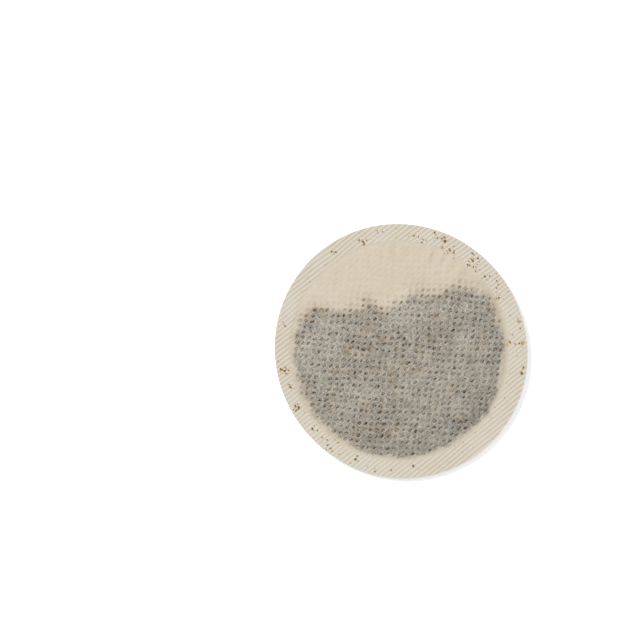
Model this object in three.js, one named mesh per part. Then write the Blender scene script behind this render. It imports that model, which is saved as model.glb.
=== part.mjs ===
// A round tea bag lying on a table: two discs of filter paper, welded together around
// their edge, with loose tea closed between them. Millimetres, +Z up. The origin is on
// the table, under the middle of the cut disc.
import * as THREE from 'three';

// The cut disc, which is very slightly oval.
const BAG_RADIUS = 30;          // mean radius of the cut edge
const OVAL_SHARE = 0.014;       // how much the radius gains along the oval and loses across it
const OVAL_ANGLE = 2.24;        // direction of the oval's long way
const PAPER = 0.1;              // thickness of one sheet

// The weld is the ring outside this circle, and the pocket is the space inside it.
const POCKET_RADIUS = 25.8;
const POCKET_SHIFT = -0.4;      // along X: the weld is a little wider on the right
const WELD_HEIGHT = 1.9;        // the joint between the sheets, above the table
const WELD_WAVES = [            // slow waves of the flat ring, as [height, waves, angle]
  [0.16, 2, 0.6],
  [0.10, 3, 2.1],
];

// How far each sheet stands off the weld's plane in the full part of the pocket.
const RISE_ABOVE = 3.6;
const DROP_BELOW = 2.6;
const SWELL_POWER = 2.8;        // a higher power keeps the pocket full nearer the weld
const SWELL_ROUNDING = 0.85;
const EMPTY_SHARE = 0.16;       // what is left of the rise where no tea lies

// The far side of the pocket holds no tea. The heap's crest line crosses the pocket at this
// height along Y, lower on the left, and the sheets close over it.
const CREST = 11.2;
const CREST_STEP = 2.2;         // how far it goes up on the right, and down on the left
const CREST_STEP_WIDTH = 5;
const FULL_BEFORE_CREST = 5.5;
const CLOSED_AFTER_CREST = 3.5;

// The heap of tea, which has slid to one side. The outline runs round it as seen from above.
const HEAP_CENTRE = [-1, -5];
const HEAP_OUTLINE = [
  [24.7, 2.4], [23.4, 7.3], [21.8, 11.1], [19.0, 14.0], [14.7, 15.2], [8.8, 13.2],
  [3.1, 13.4], [-2.4, 9.2], [-11.1, 9.4], [-17.6, 9.8], [-23.4, 7.0], [-25.6, 1.4],
  [-24.7, -5.2], [-22.9, -10.2], [-19.8, -15.9], [-14.4, -20.4], [-8.6, -23.7],
  [-1.9, -25.0], [4.3, -24.6], [10.4, -22.2], [16.8, -18.4], [20.9, -13.8], [23.3, -6.0],
];
const HEAP_GAP = 0.3;           // between the heap and each sheet
const HEAP_ROUNDED = 0.8;       // share of the way out at which its sides start to fall

// How finely the faceted surfaces are divided.
const SPOKES = 64;
const POCKET_RINGS = 11;
const WELD_RINGS = 1;
const HEAP_RINGS = 9;
const OUTLINE_SAMPLES = 720;

const TURN = 2 * Math.PI;

function smoothStep(from, to, value) {
  const t = THREE.MathUtils.clamp((value - from) / (to - from), 0, 1);
  return t * t * (3 - 2 * t);
}

function onCutEdge(angle) {
  const radius = BAG_RADIUS * (1 + OVAL_SHARE * Math.cos(2 * (angle - OVAL_ANGLE)));
  return [radius * Math.cos(angle), radius * Math.sin(angle)];
}

function onPocketEdge(angle) {
  return [POCKET_SHIFT + POCKET_RADIUS * Math.cos(angle), POCKET_RADIUS * Math.sin(angle)];
}

function weldHeight(x, y) {
  const angle = Math.atan2(y, x);
  const reach = Math.hypot(x, y) / BAG_RADIUS;
  const waves = WELD_WAVES.map(([height, count, at]) => height * Math.cos(count * (angle - at)));
  return WELD_HEIGHT + waves.reduce((sum, wave) => sum + wave, 0) * reach * reach;
}

// The heap's outline as a distance from its centre for every angle.
const heapCurve = new THREE.CatmullRomCurve3(
  HEAP_OUTLINE.map(([x, y]) => new THREE.Vector3(x, y, 0)),
  true,
  'centripetal',
);
const heapReach = heapCurve
  .getPoints(OUTLINE_SAMPLES)
  .map(({ x, y }) => [x - HEAP_CENTRE[0], y - HEAP_CENTRE[1]])
  .map(([x, y]) => ({ angle: Math.atan2(y, x), reach: Math.hypot(x, y) }))
  .sort((a, b) => a.angle - b.angle);

function heapRadius(angle) {
  const wrapped = Math.atan2(Math.sin(angle), Math.cos(angle));
  const after = heapReach.findIndex((sample) => sample.angle > wrapped);
  const next = heapReach[after < 0 ? 0 : after];
  const last = heapReach.at(after < 0 ? -1 : after - 1);
  const span = (next.angle - last.angle + TURN) % TURN;
  const part = span > 0 ? ((wrapped - last.angle + TURN) % TURN) / span : 0;
  return last.reach + (next.reach - last.reach) * part;
}

// 0 at the heap's centre and 1 on its outline.
function wayOut(x, y) {
  const dx = x - HEAP_CENTRE[0];
  const dy = y - HEAP_CENTRE[1];
  return Math.hypot(dx, dy) / heapRadius(Math.atan2(dy, dx));
}

// How full the pocket is at a point: 0 on the weld and 1 over the middle of the heap.
function fullness(x, y) {
  const reach = Math.min(Math.hypot(x - POCKET_SHIFT, y) / POCKET_RADIUS, 1);
  const swell = (1 - reach ** SWELL_POWER) ** SWELL_ROUNDING;
  const crest = CREST + CREST_STEP * Math.tanh(x / CREST_STEP_WIDTH);
  const filled = 1 - smoothStep(crest - FULL_BEFORE_CREST, crest + CLOSED_AFTER_CREST, y);
  return swell * (EMPTY_SHARE + (1 - EMPTY_SHARE) * filled);
}

// The inner face of each sheet. The lower one lies flat where it meets the table.
function insideAbove(x, y) {
  return weldHeight(x, y) + RISE_ABOVE * fullness(x, y);
}

function insideBelow(x, y) {
  return Math.max(weldHeight(x, y) - DROP_BELOW * fullness(x, y), PAPER);
}

// Rings of points for a sheet: its centre, then rings out to the weld, then across the weld.
function sheetRings() {
  const rings = [];
  for (let ring = 1; ring <= POCKET_RINGS; ring += 1) {
    const share = Math.sin((Math.PI / 2) * (ring / POCKET_RINGS));
    rings.push((angle) => {
      const [x, y] = onPocketEdge(angle);
      return [POCKET_SHIFT + (x - POCKET_SHIFT) * share, y * share];
    });
  }
  for (let ring = 1; ring <= WELD_RINGS; ring += 1) {
    const share = ring / WELD_RINGS;
    rings.push((angle) => {
      const [x0, y0] = onPocketEdge(angle);
      const [x1, y1] = onCutEdge(angle);
      return [x0 + (x1 - x0) * share, y0 + (y1 - y0) * share];
    });
  }
  return rings;
}

function heapRings() {
  return Array.from({ length: HEAP_RINGS }, (_, ring) => {
    const share = Math.sin((Math.PI / 2) * ((ring + 1) / HEAP_RINGS));
    return (angle) => {
      const reach = heapRadius(angle) * share;
      return [HEAP_CENTRE[0] + reach * Math.cos(angle), HEAP_CENTRE[1] + reach * Math.sin(angle)];
    };
  });
}

// A closed body between two height functions, over rings of points around a centre. Its
// two faces share their last ring where they meet there, or are joined by a wall.
function lensGeometry([cx, cy], rings, bottom, top, sharpEdge) {
  const positions = [];
  const index = [];
  const addFace = (height) => {
    const first = positions.length / 3;
    positions.push(cx, cy, height(cx, cy));
    for (const ring of rings) {
      for (let spoke = 0; spoke < SPOKES; spoke += 1) {
        const [x, y] = ring((TURN * spoke) / SPOKES);
        positions.push(x, y, height(x, y));
      }
    }
    return (ring, spoke) => (ring < 0 ? first : first + 1 + ring * SPOKES + (spoke % SPOKES));
  };
  const upper = addFace(top);
  const lower = addFace(bottom);
  const last = rings.length - 1;
  const edgeOfLower = (ring, spoke) => (
    sharpEdge && ring === last ? upper(ring, spoke) : lower(ring, spoke)
  );
  for (let spoke = 0; spoke < SPOKES; spoke += 1) {
    index.push(upper(-1), upper(0, spoke), upper(0, spoke + 1));
    index.push(lower(-1), lower(0, spoke + 1), lower(0, spoke));
    for (let ring = 0; ring < last; ring += 1) {
      index.push(upper(ring, spoke), upper(ring + 1, spoke), upper(ring + 1, spoke + 1));
      index.push(upper(ring, spoke), upper(ring + 1, spoke + 1), upper(ring, spoke + 1));
      index.push(lower(ring, spoke), edgeOfLower(ring + 1, spoke + 1), edgeOfLower(ring + 1, spoke));
      index.push(lower(ring, spoke), lower(ring, spoke + 1), edgeOfLower(ring + 1, spoke + 1));
    }
    if (!sharpEdge) {
      index.push(lower(last, spoke), lower(last, spoke + 1), upper(last, spoke + 1));
      index.push(lower(last, spoke), upper(last, spoke + 1), upper(last, spoke));
    }
  }
  const geometry = new THREE.BufferGeometry();
  geometry.setAttribute('position', new THREE.Float32BufferAttribute(positions, 3));
  geometry.setIndex(index);
  geometry.computeVertexNormals();
  return geometry;
}

function upperPaper() {
  const top = (x, y) => insideAbove(x, y) + PAPER;
  return lensGeometry([POCKET_SHIFT, 0], sheetRings(), insideAbove, top, false);
}

function lowerPaper() {
  const bottom = (x, y) => insideBelow(x, y) - PAPER;
  return lensGeometry([POCKET_SHIFT, 0], sheetRings(), bottom, insideBelow, false);
}

// The tea fills the pocket between the sheets, and its sides fall in a round to its outline.
function teaLeaves() {
  const share = (x, y) => {
    const out = THREE.MathUtils.clamp((wayOut(x, y) - HEAP_ROUNDED) / (1 - HEAP_ROUNDED), 0, 1);
    return Math.sqrt(1 - out * out);
  };
  const middle = (x, y) => (insideAbove(x, y) + insideBelow(x, y)) / 2;
  const half = (x, y) => (insideAbove(x, y) - insideBelow(x, y)) / 2 - HEAP_GAP;
  const top = (x, y) => middle(x, y) + Math.max(half(x, y), 0) * share(x, y);
  const bottom = (x, y) => middle(x, y) - Math.max(half(x, y), 0) * share(x, y);
  return lensGeometry(HEAP_CENTRE, heapRings(), bottom, top, true);
}

const filterPaper = { color: '#ddd1bb', roughness: 0.85, metalness: 0 };
const driedTea = { color: '#4a3a2a', roughness: 0.9, metalness: 0 };

function piece(name, geometry, look) {
  const mesh = new THREE.Mesh(geometry, new THREE.MeshStandardMaterial(look));
  mesh.name = name;
  return mesh;
}

const teaBag = new THREE.Group();
teaBag.add(piece('upper_paper', upperPaper(), filterPaper));
teaBag.add(piece('lower_paper', lowerPaper(), filterPaper));
teaBag.add(piece('tea_leaves', teaLeaves(), driedTea));

export default teaBag;
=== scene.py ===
"""A round tea bag lying on a pale table: two welded discs of filter paper with loose tea between.

Metres, +Z up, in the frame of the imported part.
"""
import math

import bpy
import numpy as np
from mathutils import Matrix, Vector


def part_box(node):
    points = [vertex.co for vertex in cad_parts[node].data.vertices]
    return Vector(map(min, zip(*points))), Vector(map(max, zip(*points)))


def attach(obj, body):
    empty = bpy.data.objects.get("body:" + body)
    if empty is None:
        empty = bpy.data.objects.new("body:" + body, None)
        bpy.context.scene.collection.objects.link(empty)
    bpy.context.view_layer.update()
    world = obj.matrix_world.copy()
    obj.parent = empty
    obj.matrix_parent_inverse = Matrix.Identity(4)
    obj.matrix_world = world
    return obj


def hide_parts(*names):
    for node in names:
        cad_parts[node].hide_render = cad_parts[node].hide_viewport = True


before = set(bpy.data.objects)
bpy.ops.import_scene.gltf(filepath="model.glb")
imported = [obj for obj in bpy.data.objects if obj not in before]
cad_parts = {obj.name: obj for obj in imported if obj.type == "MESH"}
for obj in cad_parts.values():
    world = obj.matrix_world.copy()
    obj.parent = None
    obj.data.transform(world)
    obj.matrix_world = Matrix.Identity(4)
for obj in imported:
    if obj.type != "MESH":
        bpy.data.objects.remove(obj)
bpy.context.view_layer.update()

MM = 0.001
TURN = 2 * math.pi

# ------------------------------------------------------------------ sizes of the bag
SHEET_LOW, SHEET_HIGH = (np.array(corner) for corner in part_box("upper_paper"))

BAG_RADIUS = float((SHEET_HIGH - SHEET_LOW)[:2].mean() / 2)
OVAL_SHARE = 0.014
OVAL_ANGLE = 2.24
PAPER = 0.1 * MM
POCKET_RADIUS = 0.86 * BAG_RADIUS
POCKET_SHIFT = -0.4 * MM
WELD_HEIGHT = 1.9 * MM
WELD_WAVES = ((0.16 * MM, 2, 0.6), (0.10 * MM, 3, 2.1))
RISE_ABOVE = 3.6 * MM
DROP_BELOW = 2.6 * MM
SWELL_POWER = 2.8
SWELL_ROUNDING = 1.25
EMPTY_SHARE = 0.16

# The line that the tea reaches up to. It is higher on the right than on the left, and the
# pocket closes from a full depth to an empty one across it.
CREST = 11.2 * MM
CREST_STEP = 2.2 * MM
CREST_STEP_WIDTH = 5 * MM
FULL_BEFORE_CREST = 5.5 * MM
CLOSED_AFTER_CREST = 3.5 * MM

# The heap of tea, as seen from above.
HEAP_CENTRE = np.array((-1.0, -5.0)) * MM
HEAP_OUTLINE = np.array((
    (24.6, 2.4), (23.1, 7.2), (21.8, 11.5), (19.1, 13.9), (14.7, 15.0), (11.8, 15.0),
    (8.8, 13.6), (3.1, 13.6), (0.5, 11.8), (-2.6, 10.1), (-5.2, 10.1), (-7.4, 11.5),
    (-9.6, 10.2), (-13.0, 9.4), (-16.4, 9.9), (-20.6, 10.0), (-23.9, 6.6), (-25.8, 1.4),
    (-24.8, -5.2), (-23.1, -10.2), (-20.0, -15.8), (-14.5, -20.5), (-9.0, -23.8), (-1.9, -25.2),
    (4.3, -25.0), (10.5, -22.6), (16.8, -18.5), (20.9, -14.0), (23.0, -8.5), (23.5, -3.5),
)) * MM
HEAP_OFF_WELD = 0.36 * MM
HEAP_ROUND = 3.0 * MM
LOOSE_EDGE = (3 * MM, 9 * MM)
PACKED_SIDE = math.radians(-45)

# The ribs that the toothed jaws pressed into the weld.
RIB_PITCH = 0.917 * MM
RIB_SLANT = math.radians(38.5)
RIB_HEIGHT = 0.055 * MM

# The mesh that the screen left in the paper: pits on a slightly skewed lattice.
MESH_WAVES = np.array(((0.6793, -0.0954), (-0.0447, -0.6903))) / MM
MESH_REPEAT = 256
PIT_DEPTH = 0.12 * MM
PIT_START = 0.22
PIT_END = 0.48
PIT_SLIMNESS = 1.5
TABLE_PLAY = 0.13 * MM

# Fineness of the meshes.
POCKET_STEP = 0.225 * MM
WELD_STEP = 0.165 * MM
INSIDE_STEP = 0.65 * MM


# ------------------------------------------------------------------ shape of the bag
def smooth_step(start, end, value):
    t = np.clip((value - start) / (end - start), 0, 1)
    return t * t * (3 - 2 * t)


def ripples(xy, wavelength, seed, waves=28):
    """A smooth random field of about unit strength, from plane waves of about one length."""
    rng = np.random.default_rng(seed)
    angles = rng.uniform(0, TURN, waves)
    lengths = wavelength * rng.uniform(0.75, 1.5, waves)
    phases = rng.uniform(0, TURN, waves)
    along = np.stack((np.cos(angles), np.sin(angles))) * (TURN / lengths)
    return np.cos(xy @ along + phases).sum(-1) * math.sqrt(2 / waves)


def cut_edge(angle):
    radius = BAG_RADIUS * (1 + OVAL_SHARE * np.cos(2 * (angle - OVAL_ANGLE)))
    return np.stack((radius * np.cos(angle), radius * np.sin(angle)), -1)


def pocket_edge(angle):
    ring = np.stack((np.cos(angle), np.sin(angle)), -1) * POCKET_RADIUS
    return ring + (POCKET_SHIFT, 0)


def pocket_reach(xy):
    """0 in the middle of the pocket and 1 on the weld's inner edge."""
    return np.hypot(xy[..., 0] - POCKET_SHIFT, xy[..., 1]) / POCKET_RADIUS


def weld_height(xy):
    angle = np.arctan2(xy[..., 1], xy[..., 0])
    reach = np.hypot(xy[..., 0], xy[..., 1]) / BAG_RADIUS
    waves = sum(height * np.cos(count * (angle - at)) for height, count, at in WELD_WAVES)
    return WELD_HEIGHT + waves * reach ** 2


def fullness(xy):
    """How full the pocket is: 0 on the weld and 1 over the middle of the heap."""
    reach = np.minimum(pocket_reach(xy), 1)
    swell = (1 - reach ** SWELL_POWER) ** SWELL_ROUNDING
    crest = CREST + CREST_STEP * np.tanh(xy[..., 0] / CREST_STEP_WIDTH)
    filled = 1 - smooth_step(crest - FULL_BEFORE_CREST, crest + CLOSED_AFTER_CREST, xy[..., 1])
    return swell * (EMPTY_SHARE + (1 - EMPTY_SHARE) * filled)


def lumps(xy, seed):
    """Where the leaf presses the paper out a little."""
    coarse = 0.09 * MM * ripples(xy, 4.5 * MM, seed)
    fine = 0.03 * MM * ripples(xy, 1.9 * MM, seed + 1)
    return fullness(xy) * (coarse + fine)


def puckers(xy):
    """Short slack folds that run in from the weld, the same in both sheets."""
    reach = pocket_reach(xy)
    angle = np.arctan2(xy[..., 1], xy[..., 0] - POCKET_SHIFT)
    band = smooth_step(0.80, 0.93, reach) * (1 - smooth_step(0.95, 1.0, reach))
    around = np.stack((np.cos(angle), np.sin(angle)), -1) * BAG_RADIUS
    return band * 0.05 * MM * ripples(around, 3.2 * MM, 13)


def inside_above(xy):
    return weld_height(xy) + RISE_ABOVE * fullness(xy) + lumps(xy, 11) + puckers(xy)


def inside_below(xy):
    """The lower sheet's inner face, which eases into the flat stretch on the table."""
    hanging = weld_height(xy) - DROP_BELOW * fullness(xy) - lumps(xy, 17) + puckers(xy)
    lowest = PAPER + TABLE_PLAY
    soft = 0.12 * MM
    over = hanging - lowest
    return lowest + (over + np.sqrt(over ** 2 + soft ** 2)) / 2


def heap_reach():
    """The heap's outline as angles about its centre and the distance out at each."""
    before = np.roll(HEAP_OUTLINE, 1, 0)[:, None]
    here = HEAP_OUTLINE[:, None]
    after = np.roll(HEAP_OUTLINE, -1, 0)[:, None]
    beyond = np.roll(HEAP_OUTLINE, -2, 0)[:, None]
    t = np.linspace(0, 1, 16, endpoint=False)[None, :, None]
    bend = 2 * before - 5 * here + 4 * after - beyond
    twist = 3 * here - before - 3 * after + beyond
    curve = here + ((after - before) * t + bend * t ** 2 + twist * t ** 3) / 2
    out = curve.reshape(-1, 2) - HEAP_CENTRE
    angle = np.arctan2(out[:, 1], out[:, 0])
    order = np.argsort(angle)
    return angle[order], np.hypot(out[:, 0], out[:, 1])[order]


HEAP_ANGLES, HEAP_REACHES = heap_reach()


def packed(xy):
    """-1 on the side where the tea lies loosest, and 1 where it has slid up against the paper."""
    return xy @ (math.cos(PACKED_SIDE), math.sin(PACKED_SIDE)) / POCKET_RADIUS


def from_heap_edge(xy):
    """Roughly how far a point lies inside the heap's outline, or outside it if negative."""
    out = xy - HEAP_CENTRE
    angle = np.arctan2(out[..., 1], out[..., 0])
    reach = np.interp(angle, HEAP_ANGLES, HEAP_REACHES, period=TURN)
    from_weld = POCKET_RADIUS * (1 - pocket_reach(xy)) - HEAP_OFF_WELD * (1 - 0.5 * packed(xy))
    ragged = 0.2 * MM * ripples(xy, 3.6 * MM, 39) + 0.14 * MM * ripples(xy, 1.2 * MM, 40)
    return np.minimum(reach - np.hypot(out[..., 0], out[..., 1]), from_weld) + ragged


def in_weld(xy):
    """0 in the pocket and 1 on the ribbed ring."""
    return smooth_step(0.996, 1.036, pocket_reach(xy))


def lattice(xy):
    """Where a point lies on the pressed pattern: across and along the mesh, and across the ribs."""
    far = np.stack((ripples(xy, 14 * MM, 31), ripples(xy, 14 * MM, 32)), -1)
    near = np.stack((ripples(xy, 3.4 * MM, 33), ripples(xy, 3.4 * MM, 34)), -1)
    ribs = xy @ (math.sin(RIB_SLANT), -math.cos(RIB_SLANT)) / RIB_PITCH
    ribs = ribs + 0.08 * ripples(xy, 11 * MM, 35)
    return np.concatenate((xy @ MESH_WAVES.T + 0.12 * far + 0.035 * near, ribs[..., None]), -1)


def pit_kinds(pattern):
    """Two numbers for each pit of the mesh: how thin the paper is in it, from 0 to 1, and its size."""
    rng = np.random.default_rng(7)
    thin = rng.beta(2.2, 3.4, (MESH_REPEAT, MESH_REPEAT))
    size = rng.uniform(0.85, 1.17, (MESH_REPEAT, MESH_REPEAT))
    cells = np.round(pattern[..., :2]).astype(int) % MESH_REPEAT
    return thin[cells[..., 0], cells[..., 1]], size[cells[..., 0], cells[..., 1]]


def pit_shape(pattern, size):
    """1 on the floor of a pit and 0 on the ridges round it. The pits are slim and slanted."""
    off = pattern[..., :2] - np.round(pattern[..., :2])
    along = off[..., 0] - off[..., 1]
    across = (off[..., 0] + off[..., 1]) * PIT_SLIMNESS
    return 1 - smooth_step(PIT_START, PIT_END, np.hypot(along, across) / math.sqrt(2) / size)


def near_weld(xy):
    """1 in the smooth band beside the weld and beyond, and 0 inside it."""
    return smooth_step(0.955, 0.99, pocket_reach(xy))


def in_mesh(xy):
    """How strongly the mesh shows: 1 over the tea, less where the pocket is slack, 0 by the weld."""
    taut = 0.33 + 0.67 * smooth_step(-4.0 * MM, -0.8 * MM, from_heap_edge(xy))
    return taut * (1 - near_weld(xy))


def relief(xy):
    """How far the pressed pattern stands proud of the plain paper."""
    pattern = lattice(xy)
    thin, size = pit_kinds(pattern)
    mesh = PIT_DEPTH * (0.9 - (0.5 + 0.7 * thin) * pit_shape(pattern, size))
    ribs = RIB_HEIGHT * (1 + np.cos(TURN * pattern[..., 2]))
    fibres = 0.005 * MM * ripples(xy, 0.8 * MM, 23)
    return mesh * in_mesh(xy) + ribs * in_weld(xy) + fibres


def above_surface(xy):
    return inside_above(xy) + PAPER + relief(xy)


def below_surface(xy):
    return inside_below(xy) - PAPER - relief(xy)


# ------------------------------------------------------------------ meshes
def ring_points(pocket_share, weld_share, step, stagger):
    """Points round one ring: inside the pocket, or across the weld from its inner edge."""
    radius = POCKET_RADIUS * pocket_share + (BAG_RADIUS - POCKET_RADIUS) * weld_share
    count = max(6, round(TURN * radius / step))
    angle = (np.arange(count) + stagger) * TURN / count
    inner = (pocket_edge(angle) - (POCKET_SHIFT, 0)) * pocket_share + (POCKET_SHIFT, 0)
    return inner + (cut_edge(angle) - inner) * weld_share, angle


def disc_rings(pocket_step, weld_step):
    """Rings that close up towards the weld and stay close across it."""
    rings = []
    count = math.ceil(POCKET_RADIUS / pocket_step)
    for ring in range(1, count + 1):
        share = ring / count
        step = pocket_step + (weld_step - pocket_step) * float(smooth_step(0.93, 1.0, share))
        rings.append(ring_points(share, 0, step, ring % 2 / 2))
    across = math.ceil((BAG_RADIUS - POCKET_RADIUS) / weld_step)
    for ring in range(1, across + 1):
        rings.append(ring_points(1, ring / across, weld_step, ring % 2 / 2))
    return rings


def zip_rings(first_inner, inner, first_outer, outer):
    """Triangles between two rings of points, given each ring's first number and its angles."""
    faces = []
    a = 0
    b = 0
    while a < len(inner) or b < len(outer):
        here_a = first_inner + a % len(inner)
        here_b = first_outer + b % len(outer)
        next_a = inner[(a + 1) % len(inner)] + TURN * ((a + 1) // len(inner))
        next_b = outer[(b + 1) % len(outer)] + TURN * ((b + 1) // len(outer))
        if b < len(outer) and (a >= len(inner) or next_b <= next_a):
            b += 1
            faces.append((here_a, here_b, first_outer + b % len(outer)))
        else:
            a += 1
            faces.append((here_a, here_b, first_inner + a % len(inner)))
    return faces


def disc(rings, height, first):
    """Points and faces of a disc of rings about the pocket's middle, facing up."""
    flat = np.concatenate([np.array(((POCKET_SHIFT, 0.0),))] + [points for points, _ in rings])
    points = np.concatenate((flat, height(flat)[:, None]), 1)
    start = first + 1
    count = len(rings[0][1])
    faces = [(first, start + spoke, start + (spoke + 1) % count) for spoke in range(count)]
    for (_, inner), (_, outer) in zip(rings, rings[1:]):
        faces += zip_rings(start, inner, start + len(inner), outer)
        start += len(inner)
    return points, faces, start


def mesh_of(name, points, faces, smooth=True):
    """A mesh from points and faces, where the faces may have any number of corners."""
    mesh = bpy.data.meshes.new(name)
    sizes = np.array([len(face) for face in faces], np.int32)
    corners = np.fromiter((corner for face in faces for corner in face), np.int32)
    mesh.vertices.add(len(points))
    mesh.vertices.foreach_set("co", np.asarray(points, np.float32).ravel())
    mesh.loops.add(len(corners))
    mesh.loops.foreach_set("vertex_index", corners)
    mesh.polygons.add(len(sizes))
    mesh.polygons.foreach_set("loop_start", np.cumsum(sizes) - sizes)
    mesh.polygons.foreach_set("use_smooth", np.full(len(sizes), smooth))
    mesh.update(calc_edges=True)
    return mesh


def paint(mesh, name, kind, values):
    """Stores a value for each point of a mesh, for its material to read."""
    layer = mesh.attributes.new(name, kind, "POINT")
    field = {"FLOAT": "value", "FLOAT_VECTOR": "vector", "FLOAT_COLOR": "color"}[kind]
    if kind == "FLOAT_COLOR":
        values = np.concatenate((values, np.ones((len(values), 1))), 1)
    layer.data.foreach_set(field, np.asarray(values, np.float32).ravel())


MAP_WIDTH = 2.06 * BAG_RADIUS
MAP_CORNER = 0.065
INNER_FACE_SHARE = 0.11
CUT_EDGE_SHARE = 0.123


def lay_out(mesh, flat, outer_points, outer_faces, edge_faces):
    """The sheet's map: its outer face fills it, and its inner face and cut edge are in one corner."""
    corners = np.empty(len(mesh.loops), np.int32)
    mesh.loops.foreach_get("vertex_index", corners)
    spread = flat[corners] / MAP_WIDTH
    loop = np.arange(len(corners))
    on_outer_face = loop < 3 * outer_faces
    on_edge = (loop >= len(corners) - 3 * edge_faces) & (corners < outer_points)
    share = np.where(on_edge, CUT_EDGE_SHARE, INNER_FACE_SHARE)
    small = spread * share[:, None] + MAP_CORNER
    places = np.where(on_outer_face[:, None], spread + 0.5, small)
    mesh.uv_layers.new(name="OFBake").data.foreach_set("uv", places.astype(np.float32).ravel())


def sheet_mesh(name, outer_height, inner_height, faces_up):
    """A closed sheet of paper: a fine outer face, a plainer inner face and the cut edge."""
    outer_rings = disc_rings(POCKET_STEP, WELD_STEP)
    inner_rings = disc_rings(INSIDE_STEP, INSIDE_STEP)
    outer_points, outer_faces, outer_last = disc(outer_rings, outer_height, 0)
    inner_points, inner_faces, inner_last = disc(inner_rings, inner_height, len(outer_points))
    edge_faces = zip_rings(inner_last, inner_rings[-1][1], outer_last, outer_rings[-1][1])
    if faces_up:
        turned = inner_faces + edge_faces
        faces = outer_faces + [face[::-1] for face in turned]
    else:
        faces = [face[::-1] for face in outer_faces] + inner_faces + edge_faces
    points = np.concatenate((outer_points, inner_points))
    mesh = mesh_of(name, points, faces)
    lay_out(mesh, points[:, :2], len(outer_points), len(outer_faces), len(edge_faces))
    mesh.set_sharp_from_angle(angle=math.radians(65))
    return mesh


def add_piece(name, mesh, material, slot, *nodes):
    """Puts a mesh in the scene as one piece, standing for the CAD nodes that it names."""
    piece = bpy.data.objects.new(name, mesh)
    bpy.context.collection.objects.link(piece)
    mesh.materials.append(material)
    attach(piece, "root")
    if nodes:
        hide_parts(*nodes)
    return piece


# ------------------------------------------------------------------ the heap of tea
def at_crest(xy):
    """1 along the heap's loose upper edge, where it thins out, and 0 elsewhere."""
    return smooth_step(*LOOSE_EDGE, xy[..., 1])


def heap_share(xy):
    """How much of the pocket's depth the tea fills: 1 inside, falling in a round to its edge."""
    t = np.clip(from_heap_edge(xy) / HEAP_ROUND, 0, 1)
    return np.sqrt(1 - (1 - t) ** 2)


class Bits:
    """Many small plates, such as chips of leaf. Each is irregular and has its own colour."""

    CORNERS = 6

    def __init__(self, xy, length, width, thick, tilt, colour, seed):
        rng = np.random.default_rng(seed)
        count = len(xy)
        self.colour = colour
        self.middle = np.concatenate((xy, np.zeros((count, 1))), 1)
        steps = np.arange(self.CORNERS) + rng.uniform(-0.3, 0.3, (count, self.CORNERS))
        angle = steps * TURN / self.CORNERS
        reach = rng.uniform(0.65, 1.1, (count, self.CORNERS)) / 2
        along = np.cos(angle) * reach
        aside = np.sin(angle) * reach * width[:, None]
        curl = rng.normal(0, 0.25, (count, 1)) * along ** 2 * length[:, None]
        along = along * length[:, None]
        spin = rng.uniform(0, TURN, count)
        lean = np.clip(rng.normal(0, tilt, count), -2 * tilt, 2 * tilt)
        toward = rng.uniform(0, TURN, count)
        up = np.stack((np.sin(lean) * np.cos(toward), np.sin(lean) * np.sin(toward), np.cos(lean)), -1)
        ahead = np.stack((np.cos(spin), np.sin(spin), np.zeros(count)), -1)
        ahead -= (ahead * up).sum(-1, keepdims=True) * up
        ahead /= np.linalg.norm(ahead, axis=-1, keepdims=True)
        left = np.cross(up, ahead)
        plate = along[..., None] * ahead[:, None] + aside[..., None] * left[:, None]
        plate = plate + curl[..., None] * up[:, None]
        half = (thick / 2)[:, None, None] * up[:, None]
        self.top = plate + half
        self.bottom = plate - half

    def corners(self):
        return np.concatenate((self.top, self.bottom), 1) + self.middle[:, None]

    def hang_under(self, ceiling, depth):
        """Moves each chip so that its highest corner is depth under the ceiling there."""
        corners = self.corners()
        self.middle[:, 2] -= (corners[..., 2] - ceiling(corners[..., :2])).max(1) + depth

    def stand_on(self, ground, depth):
        """Moves each chip so that its lowest corner is depth above the ground there."""
        corners = self.corners()
        self.middle[:, 2] += (ground(corners[..., :2]) - corners[..., 2]).max(1) + depth

    def keep(self, kept):
        self.middle = self.middle[kept]
        self.colour = self.colour[kept]
        self.top = self.top[kept]
        self.bottom = self.bottom[kept]

    def stay_between(self, ground, ceiling, slack):
        """Drops the chips that would stick through the ground or the ceiling."""
        corners = self.corners()
        above = (corners[..., 2] > ground(corners[..., :2]) + slack).all(1)
        below = (corners[..., 2] < ceiling(corners[..., :2]) - slack).all(1)
        self.keep(above & below)

    def mesh(self, name):
        k = self.CORNERS
        points = self.corners().reshape(-1, 3)
        plates = [tuple(range(k)), tuple(range(2 * k - 1, k - 1, -1))]
        sides = [(i, k + i, k + (i + 1) % k, (i + 1) % k) for i in range(k)]
        faces = [
            tuple(2 * k * chip + corner for corner in face)
            for chip in range(len(self.middle))
            for face in plates + sides
        ]
        mesh = mesh_of(name, points, faces, smooth=False)
        paint(mesh, "tint", "FLOAT_COLOR", np.repeat(self.colour, 2 * k, axis=0))
        return mesh

    def samples(self):
        """Points spread over each chip's face, with the number of the chip."""
        t = np.linspace(0, 1, 5, endpoint=False)
        s = np.linspace(0.1, 1, 8)
        following = np.roll(self.top, -1, 1)
        edge = self.top[:, :, None] * (1 - t)[:, None] + following[:, :, None] * t[:, None]
        spread = (edge[:, :, :, None] * s[:, None]).reshape(len(self.top), -1, 3)
        points = spread + self.middle[:, None]
        return points.reshape(-1, 3), np.repeat(np.arange(len(self.top)), spread.shape[1])


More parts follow.
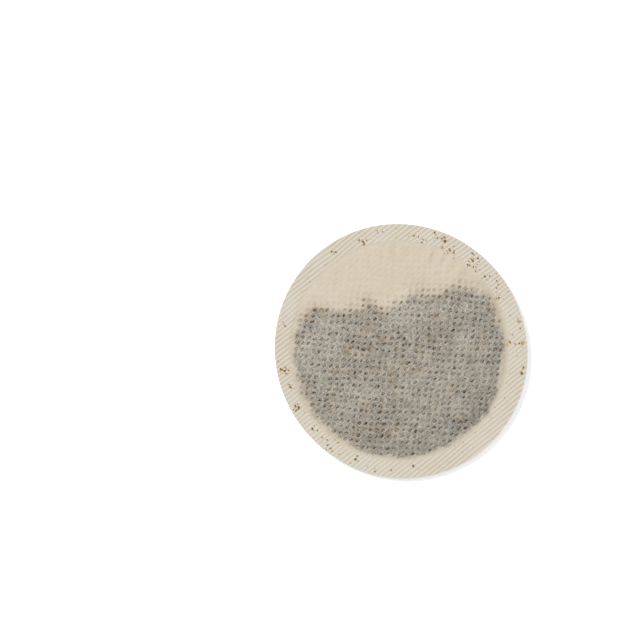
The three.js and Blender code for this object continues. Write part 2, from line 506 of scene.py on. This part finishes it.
LEAF_COLOURS = np.array((
    (0.058, 0.030, 0.007), (0.090, 0.047, 0.010), (0.020, 0.012, 0.005),
    (0.150, 0.084, 0.018), (0.075, 0.058, 0.026), (0.260, 0.155, 0.035),
))
LEAF_SHARES = (0.33, 0.25, 0.18, 0.13, 0.06, 0.05)
STALK_COLOURS = np.array(((0.40, 0.25, 0.09), (0.47, 0.33, 0.14), (0.34, 0.16, 0.05)))


def spots_in_heap(count, seed):
    """Random places inside the heap's outline. They thin out over its crest."""
    rng = np.random.default_rng(seed)
    low = HEAP_OUTLINE.min(0) - MM
    high = HEAP_OUTLINE.max(0) + MM
    tries = rng.uniform(low, high, (count * 3, 2))
    scatter = (0.4 + 0.7 * at_crest(tries)) * MM
    inside = from_heap_edge(tries) > rng.normal(0, 1, len(tries)) * scatter
    return tries[inside][:count]


def loose_clump(centre, spread, count, seed):
    """Places of a few bits that lie above the crest. The centre and spread are in millimetres."""
    rng = np.random.default_rng(seed)
    return np.array(centre) * MM + rng.normal(0, spread * MM, (count, 2))


def leaf_bits(count, seed, extra=()):
    """Broken leaf spread over the heap and the extra places, not yet at any height."""
    rng = np.random.default_rng(seed)
    xy = np.concatenate((spots_in_heap(count, seed + 1),) + tuple(extra))
    number = len(xy)
    length = np.clip(rng.gamma(7, 0.155, number), 0.4, 2.0) * MM
    width = length * rng.uniform(0.4, 0.95, number)
    thick = rng.uniform(0.08, 0.22, number) * MM
    kinds = rng.choice(len(LEAF_COLOURS), number, p=LEAF_SHARES)
    colour = LEAF_COLOURS[kinds] * rng.uniform(0.7, 1.35, (number, 1))
    return Bits(xy, length, width, thick, 0.24, colour, seed + 2)


def stalk_bits(count, seed):
    """Slim pieces of pale stalk spread over the heap, not yet at any height."""
    rng = np.random.default_rng(seed)
    xy = spots_in_heap(count, seed + 1)
    length = rng.uniform(0.8, 2.2, len(xy)) * MM
    width = rng.uniform(0.22, 0.42, len(xy)) * MM
    colour = STALK_COLOURS[rng.integers(0, 3, len(xy))] * rng.uniform(0.6, 1.2, (len(xy), 1))
    return Bits(xy, length, width, width * 0.8, 0.12, colour, seed + 2)


def heap_middle(xy):
    return (inside_above(xy) + inside_below(xy)) / 2


def heap_top(xy):
    middle = heap_middle(xy)
    return middle + (inside_above(xy) - middle) * heap_share(xy)


def heap_bottom(xy):
    middle = heap_middle(xy)
    return middle - (middle - inside_below(xy)) * heap_share(xy)


# ------------------------------------------------------------------ what lies behind the paper
CELL = 0.11 * MM
CELLS = math.ceil(2.1 * BAG_RADIUS / CELL)
BEHIND_EMPTY = np.array((0.555, 0.458, 0.325))
BEHIND_WELD = np.array((0.520, 0.438, 0.315))
BEHIND_DUST = np.array((0.190, 0.112, 0.040))
# Dark tea deep in the heap, in painted shade: it shows where leaf covers but no chip lies near the
# paper, and deeper chips darken towards it.
BEHIND_SHADED_GAPS = np.array((0.045, 0.023, 0.006))
RIDGE_GLEAM = np.array((0.004, 0.015, 0.021))

# Fine tea hazes the empty paper near the heap, more so over the crest and where the heap is loose.
HAZE = 0.13
CREST_HAZE = 0.11
HAZE_REACH = (-5.0 * MM, -0.3 * MM)
LOOSE_HAZE = 0.15
LOOSE_HAZE_REACH = (-1.8 * MM, 0)

# Across these distances the leaf begins. Where the heap is loose they are wider and further out.
LEAF_BEGINS = (-0.35 * MM, 0.65 * MM)
LOOSE_WIDENING = 1.6
LOOSE_SPILL = 0.1 * MM
RIDGES_LIFTED = (-2.6 * MM, 1.8 * MM)
LOOSE_SIDE = (0.5, -0.3)

# How sharply leaf shows in the pits when it touches the paper and when it is further off, and over
# what depth painted shade darkens it.
PIT_BLURS = (0.13 * MM, 0.38 * MM)
OFF_THE_PAPER = (0.05 * MM, 0.6 * MM)
RIDGE_BLUR = 0.6 * MM
LEAF_SHADED_OVER = 1.6 * MM
LEAST_LEAF = 0.05

# Fine tea caught in the pits just outside the crest and just inside it.
CAUGHT_DUST = np.array(((0.085, 0.056, 0.028), (0.150, 0.095, 0.040), (0.290, 0.175, 0.050)))
CAUGHT_SHARES = (0.4, 0.35, 0.25)
CAUGHT_MOST = 0.75
CAUGHT_OUTSIDE = (-3.4 * MM, 0.2 * MM)
CAUGHT_INSIDE = (0.6 * MM, 2.2 * MM)

# How closely the paper lies on the leaf at the crest, and painted shade along the heap's edge on the
# lower right, away from the window light.
CREST_CLOSE = 1.5
CREST_CLOSE_UNTIL = (3 * MM, 7 * MM)
PACKED_EDGE_SHADE = 4
PACKED_EDGE_SHADE_UNTIL = (2 * MM, 5.5 * MM)


def cell_places():
    steps = (np.arange(CELLS) - CELLS / 2) * CELL
    return np.stack(np.meshgrid(steps, steps, indexing="ij"), -1)


def soften(picture, radius):
    """Blurs a grid of colours by a Gaussian of this radius."""
    wave = np.fft.fftfreq(CELLS, CELL) * TURN
    fall = np.exp(-0.5 * (wave * radius) ** 2)
    filter_grid = (fall[:, None] * fall[None, :])[..., None]
    return np.fft.ifft2(np.fft.fft2(picture, axes=(0, 1)) * filter_grid, axes=(0, 1)).real


def seen_from(side, surface, heaps, heap_face):
    """The colours behind the paper's pits and behind its ridges: the nearest leaf in each cell.

    They are softer where the leaf is further off, and darker with painted shade, and the ridges stand
    clear of the loose crest.
    side is 1 from above and -1 from below.
    """
    places = cell_places()
    inside = from_heap_edge(places)
    loose = np.maximum(at_crest(places), smooth_step(*LOOSE_SIDE, packed(places)))
    haze = (HAZE + CREST_HAZE * at_crest(places)) * smooth_step(*HAZE_REACH, inside)
    haze = haze + LOOSE_HAZE * loose * smooth_step(*LOOSE_HAZE_REACH, inside)
    haze = haze[..., None]
    widened = inside / (1 + LOOSE_WIDENING * loose) + LOOSE_SPILL * loose
    covered = smooth_step(*LEAF_BEGINS, widened)[..., None]
    lifted = (at_crest(places) * (1 - smooth_step(*RIDGES_LIFTED, inside)))[..., None]
    slack = BEHIND_EMPTY * (1 - haze) + BEHIND_DUST * haze
    picture = slack * (1 - covered) + BEHIND_SHADED_GAPS * covered
    spread, chips = zip(*(bits.samples() for bits in heaps))
    points = np.concatenate(spread)
    colours = np.concatenate([bits.colour[chip] for bits, chip in zip(heaps, chips)])
    order = np.argsort(side * points[:, 2])
    points = points[order]
    gap = np.maximum(side * (surface(points[:, :2]) - points[:, 2]), 0)
    # Painted shade: chips further from the paper are darker.
    shade = np.exp(-gap / LEAF_SHADED_OVER)[:, None]
    cells = np.clip(np.round(points[:, :2] / CELL + CELLS / 2).astype(int), 0, CELLS - 1)
    picture[cells[:, 0], cells[:, 1]] = colours[order] * shade + BEHIND_SHADED_GAPS * (1 - shade)
    off = np.maximum(side * (surface(places) - heap_face(places)), 0)
    near, far = (soften(picture, blur) for blur in PIT_BLURS)
    to_far = smooth_step(*OFF_THE_PAPER, off)[..., None]
    behind_pits = near * (1 - to_far) + far * to_far
    share = soften(covered, RIDGE_BLUR)
    all_leaf = soften(picture * covered, RIDGE_BLUR) / np.maximum(share, LEAST_LEAF)
    behind_ridges = slack + (all_leaf - slack) * covered * (1 - lifted)
    return behind_pits, behind_ridges + RIDGE_GLEAM * (1 - behind_ridges / BEHIND_EMPTY)


def read_cells(picture, xy):
    """Reads a grid between its cells."""
    place = np.clip(xy / CELL + CELLS / 2, 0, CELLS - 1.001)
    low = np.floor(place).astype(int)
    x, y = ((place - low)[:, axis, None] for axis in (0, 1))
    left = picture[low[:, 0], low[:, 1]] * (1 - y) + picture[low[:, 0], low[:, 1] + 1] * y
    right = picture[low[:, 0] + 1, low[:, 1]] * (1 - y) + picture[low[:, 0] + 1, low[:, 1] + 1] * y
    return left * (1 - x) + right * x


def dust_caught(xy, pattern):
    """How much fine tea each pit has caught, and its colour: most in clumps just above the crest."""
    rng = np.random.default_rng(9)
    draw = rng.uniform(0, 1, (MESH_REPEAT, MESH_REPEAT))
    kinds = rng.choice(len(CAUGHT_DUST), (MESH_REPEAT, MESH_REPEAT), p=CAUGHT_SHARES)
    cells = np.round(pattern[..., :2]).astype(int) % MESH_REPEAT
    edge = from_heap_edge(xy)
    clumps = smooth_step(-1.5, 0.9, ripples(xy, 3.5 * MM, 37))
    near_edge = smooth_step(*CAUGHT_OUTSIDE, edge) * (1 - smooth_step(*CAUGHT_INSIDE, edge))
    chance = at_crest(xy) * clumps * near_edge
    caught = CAUGHT_MOST * smooth_step(0.0, 0.6, chance - draw[cells[..., 0], cells[..., 1]])
    return caught, CAUGHT_DUST[kinds[cells[..., 0], cells[..., 1]]]


def paint_sheet(mesh, behind):
    """Stores on a sheet's points what its paper is like there and what colour lies behind it."""
    points = np.empty(len(mesh.vertices) * 3, np.float32)
    mesh.vertices.foreach_get("co", points)
    xy = points.reshape(-1, 3)[:, :2].astype(float)
    pattern = lattice(xy)
    weld = in_weld(xy)
    paint(mesh, "lattice", "FLOAT_VECTOR", pattern)
    thin, size = pit_kinds(pattern)
    paint(mesh, "thin", "FLOAT", thin)
    paint(mesh, "size", "FLOAT", size)
    paint(mesh, "mesh", "FLOAT", in_mesh(xy))
    paint(mesh, "band", "FLOAT", near_weld(xy))
    paint(mesh, "weld", "FLOAT", weld)
    edge = from_heap_edge(xy)
    # Where the paper lies close on the leaf at the crest it shows the leaf more. The rest of close is
    # painted shade: darker along the heap's lower right edge, away from the window light, and a tilt
    # that darkens the upper left and lightens the lower right.
    under_crest = at_crest(xy) * (1 - smooth_step(*CREST_CLOSE_UNTIL, edge))
    shaded_edge = smooth_step(0.5, 0.95, packed(xy)) * (1 - smooth_step(*PACKED_EDGE_SHADE_UNTIL, edge))
    close = CREST_CLOSE * under_crest + PACKED_EDGE_SHADE * shaded_edge - packed(xy)
    close = close * smooth_step(-0.8 * MM, 0.8 * MM, edge)
    paint(mesh, "close", "FLOAT", close)
    in_pit = pit_shape(pattern, size)[:, None]
    colour = read_cells(behind[0], xy) * in_pit + read_cells(behind[1], xy) * (1 - in_pit)
    caught, dust = dust_caught(xy, pattern)
    colour = colour + (dust - colour) * in_pit * caught[:, None]
    paint(mesh, "behind", "FLOAT_COLOR", colour + (BEHIND_WELD - colour) * weld[:, None])


# ------------------------------------------------------------------ dust caught in the weld
# Each clump: angle in degrees, share of the way across the weld, spread and largest grain in
# millimetres, and number of grains.
DUST_CLUMPS = (
    (67.7, 0.45, 1.2, 0.80, 14), (63.0, 0.20, 0.8, 0.60, 5), (50.9, 0.45, 1.3, 0.80, 18),
    (50.5, 0.10, 0.5, 0.70, 4), (41.0, 0.35, 1.6, 0.60, 10), (34.0, 0.45, 1.6, 0.55, 9),
    (27.5, 0.35, 1.5, 0.55, 8), (14.0, 0.70, 1.0, 0.95, 7), (4.0, 0.72, 1.4, 0.85, 7),
    (4.6, 0.12, 0.5, 0.70, 3), (349.3, 0.75, 0.9, 0.80, 5), (308.7, 0.85, 0.1, 0.80, 1),
    (276.6, 0.35, 0.2, 0.75, 2), (265.6, 0.60, 0.1, 0.70, 1), (248.3, 0.55, 0.8, 0.75, 4),
    (234.3, 0.60, 1.5, 0.80, 15), (221.5, 0.45, 0.9, 0.65, 5), (208.9, 0.55, 1.0, 0.95, 8),
    (198.4, 0.40, 0.5, 0.80, 3), (189.0, 0.60, 0.8, 0.80, 10), (167.7, 0.50, 1.0, 0.45, 4),
    (123.6, 0.50, 1.0, 0.65, 4), (109.2, 0.35, 0.7, 0.80, 4), (98.0, 0.60, 1.2, 0.42, 5),
    (82.7, 0.45, 1.3, 0.50, 8), (78.3, 0.10, 0.6, 0.50, 4),
)
SPRINKLED_GRAINS = 190
DUST_COLOURS = np.array((
    (0.36, 0.210, 0.042), (0.27, 0.145, 0.026), (0.19, 0.105, 0.022),
    (0.43, 0.270, 0.060), (0.14, 0.072, 0.018),
))


def dust_spots(seed):
    """Places and sizes of the grains: the clumps, then a thin sprinkle all round."""
    rng = np.random.default_rng(seed)
    places = []
    sizes = []
    for degrees, share, spread, largest, count in DUST_CLUMPS:
        angle = np.array((math.radians(degrees),))
        inner = pocket_edge(angle)
        centre = inner + (cut_edge(angle) - inner) * share
        offsets = rng.normal(0, spread * MM, (count, 2))
        offsets[0] *= 0.2
        places.append(centre + offsets)
        grains = rng.uniform(0.3, 0.85, count)
        grains[0] = 1
        sizes.append(grains * largest * MM)
    angle = rng.uniform(0, TURN, SPRINKLED_GRAINS)
    inner = pocket_edge(angle)
    across = rng.uniform(0.05, 0.97, (SPRINKLED_GRAINS, 1))
    places.append(inner + (cut_edge(angle) - inner) * across)
    sizes.append(rng.gamma(3, 0.055, SPRINKLED_GRAINS) * MM)
    places = np.concatenate(places)
    sizes = np.concatenate(sizes)
    reach = np.hypot(places[:, 0], places[:, 1]) / BAG_RADIUS
    kept = (reach < 0.975) & (pocket_reach(places) > 0.985) & (sizes > 0.1 * MM)
    return places[kept], sizes[kept]


def dust_grains(seed):
    """Grains of tea stuck in the weld, each sunk a little over half its thickness."""
    rng = np.random.default_rng(seed)
    places, sizes = dust_spots(seed + 1)
    number = len(places)
    width = sizes * rng.uniform(0.6, 0.95, number)
    thick = np.minimum(sizes * 0.4, 0.16 * MM)
    colour = DUST_COLOURS[rng.integers(0, len(DUST_COLOURS), number)]
    colour = colour * rng.uniform(0.75, 1.3, (number, 1))
    grains = Bits(places, sizes, width, thick, 0.06, colour, seed + 2)
    grains.stand_on(above_surface, -0.55 * thick)
    return grains


# ------------------------------------------------------------------ materials
class Value:
    """A socket of a material's nodes, so that sums on it can be written as sums."""

    def __init__(self, recipe, socket):
        self.recipe = recipe
        self.socket = socket

    def maths(self, operation, *values):
        sockets = dict(enumerate(values))
        return self.recipe.node("ShaderNodeMath", {"operation": operation}, sockets)

    def __add__(self, other):
        return self.maths("ADD", self, other)

    def __radd__(self, other):
        return self.maths("ADD", other, self)

    def __sub__(self, other):
        return self.maths("SUBTRACT", self, other)

    def __rsub__(self, other):
        return self.maths("SUBTRACT", other, self)

    def __mul__(self, other):
        return self.maths("MULTIPLY", self, other)

    def __rmul__(self, other):
        return self.maths("MULTIPLY", other, self)

    def __truediv__(self, other):
        return self.maths("DIVIDE", self, other)

    def __pow__(self, other):
        return self.maths("POWER", self, other)

    def __abs__(self):
        return self.maths("ABSOLUTE", self)

    def fraction(self):
        return self.maths("FRACT", self)

    def cosine(self):
        return self.maths("COSINE", self)


class Recipe:
    """The nodes of a material or of the room."""

    def __init__(self, owner):
        owner.use_nodes = True
        self.tree = owner.node_tree
        self.tree.nodes.clear()

    def node(self, kind, settings, sockets, give=0):
        """Adds a node: its settings first, then its sockets. Returns the output numbered give."""
        node = self.tree.nodes.new(kind)
        for setting, choice in settings.items():
            setattr(node, setting, choice)
        for socket, value in sockets.items():
            if isinstance(value, Value):
                self.tree.links.new(value.socket, node.inputs[socket])
            else:
                node.inputs[socket].default_value = value
        return Value(self, node.outputs[give]) if node.outputs else None

    def place(self):
        return self.node("ShaderNodeTexCoord", {}, {}, give=3)

    def painted(self, name, give=0):
        return self.node("ShaderNodeAttribute", {"attribute_name": name}, {}, give)

    def part_of(self, vector, axis):
        return self.node("ShaderNodeSeparateXYZ", {}, {0: vector}, give=axis)

    def step(self, value, start, end):
        """0 at start, 1 at end, and smooth between."""
        sockets = {"Value": value, "From Min": start, "From Max": end}
        return self.node("ShaderNodeMapRange", {"interpolation_type": "SMOOTHSTEP"}, sockets)

    def blend(self, first, second, share):
        """Goes from the first colour to the second as share goes from 0 to 1."""
        sockets = {0: share, 6: first, 7: second}
        return self.node("ShaderNodeMix", {"data_type": "RGBA"}, sockets, give=2)

    def noise(self, place, scale, detail=2.0, roughness=0.5):
        sockets = {"Vector": place, "Scale": scale, "Detail": detail, "Roughness": roughness}
        return self.node("ShaderNodeTexNoise", {}, sockets)

    def strands(self, place, scale, shift, width):
        """Thin wandering lines, 1 along their middles."""
        moved = self.node("ShaderNodeVectorMath", {"operation": "ADD"}, {0: place, 1: shift})
        return 1 - self.step(abs(self.noise(moved, scale, detail=1.0) - 0.5), 0.0, width)

    def bump(self, height, strength, distance):
        sockets = {"Strength": strength, "Distance": distance, "Height": height}
        return self.node("ShaderNodeBump", {}, sockets)

    def surface(self, **looks):
        sockets = {name.replace("_", " "): value for name, value in looks.items()}
        return self.node("ShaderNodeBsdfPrincipled", {}, sockets)

    def put_out(self, kind, surface):
        self.node(kind, {}, {"Surface": surface})


TABLE_GLOW = 0.16
PAPER_WHITE = (0.612, 0.578, 0.506, 1.0)
STREAK_SLANT = math.radians(46)

# The paper's cover is the share of its own white that hides what is behind it. These are its
# plain values and how much each detail adds or takes away. The rings add a painted highlight,
# the band painted light as well as plain paper, and the closeness painted shade.
POCKET_COVER = 0.357
WELD_COVER = 0.93
GRAIN_COVERS = 0.40
STRANDS_COVER = 0.085
STREAKS_COVER = 0.70
BAND_COVER_AND_LIGHT = 0.07
RING_HIGHLIGHT = 0.35
CLOSE_AND_SHADE_SHOWS = 0.022
GROOVE_SHOWS = 0.80

# Fibres in the paper: how fine each layer wanders, where it starts and how wide it draws.
STRANDS = ((900.0, 0.0, 0.035), (1400.0, 0.3, 0.04), (2100.0, 0.7, 0.05))


def filter_paper():
    """Thin matt paper pressed with a mesh. It shows what is behind it, most of all in the pits."""
    material = bpy.data.materials.new("filter_paper")
    m = Recipe(material)
    place = m.place()
    pattern = m.painted("lattice", give=1)
    across, along, ribs = (m.part_of(pattern, axis) for axis in range(3))
    thin, size, meshed, band, weld, close = (
        m.painted(name, give=2) for name in ("thin", "size", "mesh", "band", "weld", "close")
    )

    off_across = (across + 0.5).fraction() - 0.5
    off_along = (along + 0.5).fraction() - 0.5
    long_way = off_across - off_along
    short_way = (off_across + off_along) * PIT_SLIMNESS
    ragged = (m.noise(place, 1800.0) - 0.5) * 0.26
    distance = ((long_way * long_way + short_way * short_way) * 0.5) ** 0.5 / size + ragged
    pit = 1 - m.step(distance, 0.29, 0.42)
    # The rim round each pit: raised in the bump, and lighter in the colour as a painted highlight.
    ring = m.step(distance, 0.38, 0.44) * (1 - m.step(distance, 0.47, 0.55) * 0.85)
    ring = ring * (0.30 + m.step(m.noise(place, 900.0), 0.40, 0.60) * 0.70)

    strands = sum(m.strands(place, scale, (shift,) * 3, width) for scale, shift, width in STRANDS)
    grain = m.noise(place, 3200.0) - 0.5
    stretch = {"Vector": place, "Rotation": (0.0, 0.0, STREAK_SLANT), "Scale": (3.2, 1.0, 1.0)}
    drawn = m.node("ShaderNodeMapping", {"vector_type": "TEXTURE"}, stretch)
    streaks = m.noise(drawn, 3400.0, detail=1.0) - 0.5
    cloud = (m.noise(place, 120.0) - 0.5) * 0.35 + (m.noise(place, 330.0) - 0.5) * 0.34
    mottle = m.step(grain * 0.7 + streaks, 0.13, -0.11)
    cover = POCKET_COVER + cloud + grain * GRAIN_COVERS + strands * STRANDS_COVER
    # Darker where the paper lies close on the leaf at the crest, and painted shade: darker on the
    # upper left and at the heap's lower right edge, lighter over the rest of the lower right.
    cover = cover - close * CLOSE_AND_SHADE_SHOWS
    opening = mottle * (0.08 + thin * (0.29 - cloud * 0.7))
    # The band beside the weld is lighter: partly its plain paper, partly painted light against the
    # shade of the pocket's slope there.
    cover = cover + streaks * STREAKS_COVER + band * BAND_COVER_AND_LIGHT
    # Painted highlight on the rims round the pits, and the pits opening onto what is behind.
    cover = cover + meshed * (ring * RING_HIGHLIGHT - pit * opening)

    pressed = 0.55 + m.step(m.noise(place, 90.0), 0.35, 0.62) * 0.45
    groove = m.step((ribs * TURN).cosine(), 0.75, -0.95) * pressed
    weld_cover = WELD_COVER - groove * GROOVE_SHOWS + grain * 0.55 + strands * 0.04
    cover = cover + weld * (weld_cover - cover)

    colour = m.blend(m.painted("behind"), PAPER_WHITE, cover)
    height = grain + strands * 0.2 + meshed * (ring * 0.6 - pit * 1.8)
    looks = m.surface(
        Base_Color=colour,
        Roughness=0.86 + grain * 0.3,
        Specular_IOR_Level=0.25,
        Normal=m.bump(height, 0.75, 0.035 * MM),
    )
    m.put_out("ShaderNodeOutputMaterial", looks)
    return material


def dried_leaf():
    """Dark crumbled leaf with finer veins and dull patches."""
    material = bpy.data.materials.new("dried_leaf")
    m = Recipe(material)
    veins = m.noise(m.place(), 1900.0, detail=4.0, roughness=0.6)
    colour = m.blend(m.painted("tint"), (0.012, 0.009, 0.006, 1.0), m.step(veins, 0.62, 0.35))
    looks = m.surface(
        Base_Color=colour, Roughness=0.62 + veins * 0.3, Normal=m.bump(veins, 0.6, 0.05 * MM)
    )
    m.put_out("ShaderNodeOutputMaterial", looks)
    return material


def tea_dust():
    """Brown and ochre grains, darker in patches."""
    material = bpy.data.materials.new("tea_dust")
    m = Recipe(material)
    mottle = m.noise(m.place(), 3800.0, detail=3.0, roughness=0.6)
    colour = m.blend(m.painted("tint"), (0.070, 0.036, 0.012, 1.0), m.step(mottle, 0.52, 0.70))
    looks = m.surface(
        Base_Color=colour,
        Roughness=0.6 + mottle * 0.3,
        Specular_IOR_Level=0.2,
        Normal=m.bump(mottle, 0.5, 0.03 * MM),
    )
    m.put_out("ShaderNodeOutputMaterial", looks)
    return material


def pale_table():
    """A pale table lit a little from below, which keeps the bag's shadow light."""
    material = bpy.data.materials.new("pale_table")
    m = Recipe(material)
    grain = m.noise(m.place(), 300.0)
    colour = m.blend((0.955, 0.955, 0.955, 1.0), (0.975, 0.975, 0.975, 1.0), grain)
    looks = m.surface(
        Base_Color=colour,
        Roughness=0.9,
        Specular_IOR_Level=0.1,
        Emission_Color=(1.0, 1.0, 1.0, 1.0),
        Emission_Strength=TABLE_GLOW,
    )
    m.put_out("ShaderNodeOutputMaterial", looks)
    return material


# ------------------------------------------------------------------ the bag
SLACK = 0.04 * MM
LEAF_DEPTH = 0.20 * MM
STALK_DEPTH = 0.08 * MM


def under_ceiling(bits, typical_depth, seed):
    """Hangs bits under the upper sheet, each at its own random depth."""
    depth = np.random.default_rng(seed).exponential(typical_depth, len(bits.middle)) + SLACK
    bits.hang_under(heap_top, depth)
    bits.stay_between(inside_below, inside_above, SLACK / 2)
    return bits


def over_ground(bits, typical_depth, seed):
    """Stands bits on the lower sheet, each at its own random height."""
    depth = np.random.default_rng(seed).exponential(typical_depth, len(bits.middle)) + SLACK
    bits.stand_on(heap_bottom, depth)
    bits.stay_between(inside_below, inside_above, SLACK / 2)
    return bits


def in_the_middle(bits):
    bits.middle[:, 2] = heap_middle(bits.middle[:, :2])
    bits.stay_between(inside_below, inside_above, SLACK / 2)
    return bits


strays = (
    loose_clump((-7.7, 10.9), spread=0.6, count=16, seed=42),
    loose_clump((-6.0, 12.4), spread=0.5, count=4, seed=43),
)
upper_leaf = under_ceiling(leaf_bits(4300, seed=41, extra=strays), LEAF_DEPTH, seed=91)
upper_stalks = under_ceiling(stalk_bits(190, seed=71), STALK_DEPTH, seed=92)
lower_leaf = over_ground(leaf_bits(3000, seed=51), LEAF_DEPTH, seed=93)
lower_stalks = over_ground(stalk_bits(120, seed=81), STALK_DEPTH, seed=94)
core_leaf = in_the_middle(leaf_bits(1300, seed=61))

paper = filter_paper()
upper_mesh = sheet_mesh("upper_sheet", above_surface, inside_above, faces_up=True)
lower_mesh = sheet_mesh("lower_sheet", below_surface, inside_below, faces_up=False)
paint_sheet(upper_mesh, seen_from(1, inside_above, (upper_leaf, upper_stalks), heap_top))
paint_sheet(lower_mesh, seen_from(-1, inside_below, (lower_leaf, lower_stalks), heap_bottom))
upper_sheet = add_piece("upper_sheet", upper_mesh, paper, "filter_paper", "upper_paper")
lower_sheet = add_piece("lower_sheet", lower_mesh, paper, "filter_paper", "lower_paper")

leaf = dried_leaf()
tea = {
    "leaf_under_upper_sheet": upper_leaf,
    "leaf_over_lower_sheet": lower_leaf,
    "leaf_in_the_middle": core_leaf,
    "stalks_under_upper_sheet": upper_stalks,
    "stalks_over_lower_sheet": lower_stalks,
}
for name, bits in tea.items():
    add_piece(name, bits.mesh(name), leaf, "dried_tea", "tea_leaves")
add_piece("seam_dust", dust_grains(seed=101).mesh("seam_dust"), tea_dust(), "dried_tea")


# ------------------------------------------------------------------ table, light and camera
def table(half_width, squares):
    steps = np.linspace(-half_width, half_width, squares + 1)
    points = [(x, y, 0.0) for y in steps for x in steps]
    row = squares + 1
    faces = [
        (first, first + 1, first + row + 1, first + row)
        for first in (row * across + along for across in range(squares) for along in range(squares))
    ]
    mesh = mesh_of("table", points, faces)
    mesh.materials.append(pale_table())
    top = bpy.data.objects.new("table", mesh)
    bpy.context.collection.objects.link(top)


def far_light(name, strength, azimuth, elevation, spread):
    """Light from far off, given where it comes from and how wide it looks, in degrees."""
    data = bpy.data.lights.new(name, "SUN")
    data.energy = strength
    data.angle = math.radians(spread)
    lamp = bpy.data.objects.new(name, data)
    lamp.rotation_euler = (math.radians(90 - elevation), 0, math.radians(azimuth + 90))
    bpy.context.collection.objects.link(lamp)


def room_light(strength, seen):
    """Even white light from all round. The room looks brighter than it shines."""
    world = bpy.data.worlds.new("room")
    bpy.context.scene.world = world
    m = Recipe(world)
    lit = m.node("ShaderNodeBackground", {}, {"Strength": strength, "Color": (1, 1, 1, 1)})
    plain = m.node("ShaderNodeBackground", {}, {"Strength": seen, "Color": (1, 1, 1, 1)})
    looked_at = m.node("ShaderNodeLightPath", {}, {})
    room = m.node("ShaderNodeMixShader", {}, {0: looked_at, 1: lit, 2: plain})
    m.put_out("ShaderNodeOutputWorld", room)


# The camera looks straight down. Its sensor and lens are in millimetres.
VIEW_WIDTH = 151.7 * MM
VIEW_CENTRE = (-19.2 * MM, 7.35 * MM)
LENS = 100
SENSOR = 36


def camera():
    data = bpy.data.cameras.new("camera")
    data.lens = LENS
    data.sensor_width = SENSOR
    data.clip_start = 0.01
    eye = bpy.data.objects.new("camera", data)
    eye.location = (*VIEW_CENTRE, VIEW_WIDTH * LENS / SENSOR + WELD_HEIGHT)
    bpy.context.collection.objects.link(eye)
    bpy.context.scene.camera = eye


table(half_width=4.0, squares=8)
room_light(strength=0.38, seen=1.0)
far_light("ceiling_lamp", strength=1.21, azimuth=90, elevation=84, spread=34)
far_light("window", strength=1.69, azimuth=138, elevation=48, spread=14)
camera()
bpy.context.scene.view_settings.view_transform = "Standard"
